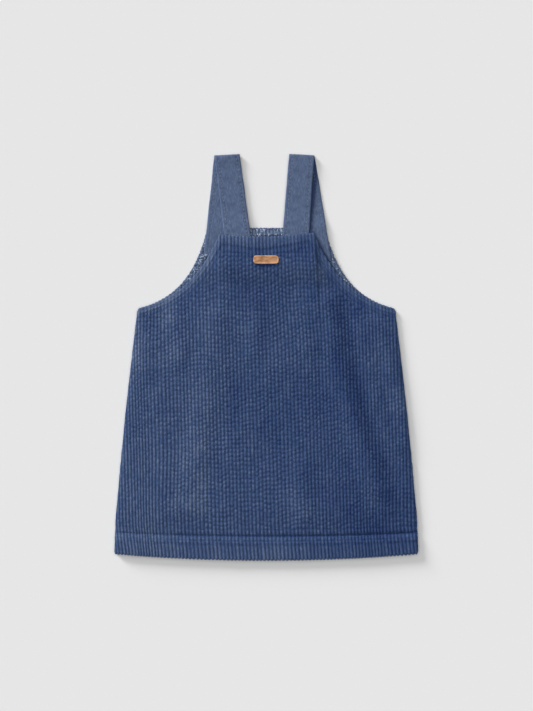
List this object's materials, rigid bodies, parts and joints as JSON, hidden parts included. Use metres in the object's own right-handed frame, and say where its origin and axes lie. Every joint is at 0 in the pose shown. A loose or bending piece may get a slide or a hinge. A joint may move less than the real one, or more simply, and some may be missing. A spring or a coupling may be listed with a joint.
{
  "type": "pinafore dress",
  "caption": "Child's wide-wale corduroy pinafore dress with folded shoulder straps and a plain leather tab, laid flat.",
  "frame": {"origin": "centre of the dress's footprint, on the surface that it lies on", "axes": "+Y up the dress from hem to shoulder, +Z away from the surface that it lies on, +X to the right in a view of its front"},
  "size_m": [0.335, 0.4486, 0.0115],
  "materials": {
    "corduroy_back": "blue cotton corduroy, wrong side up",
    "corduroy_front": "blue cotton wide-wale corduroy, soft matt pile",
    "strap_twill": "grey-blue cotton twill, matt",
    "tab_leather": "plain tan leather, satin"
  },
  "bodies": {
    "root": {"back_panel": "corduroy_back", "front_panel": "corduroy_front", "strap_left": "strap_twill", "strap_right": "strap_twill", "label_tab": "tab_leather"}
  },
  "joints": []
}
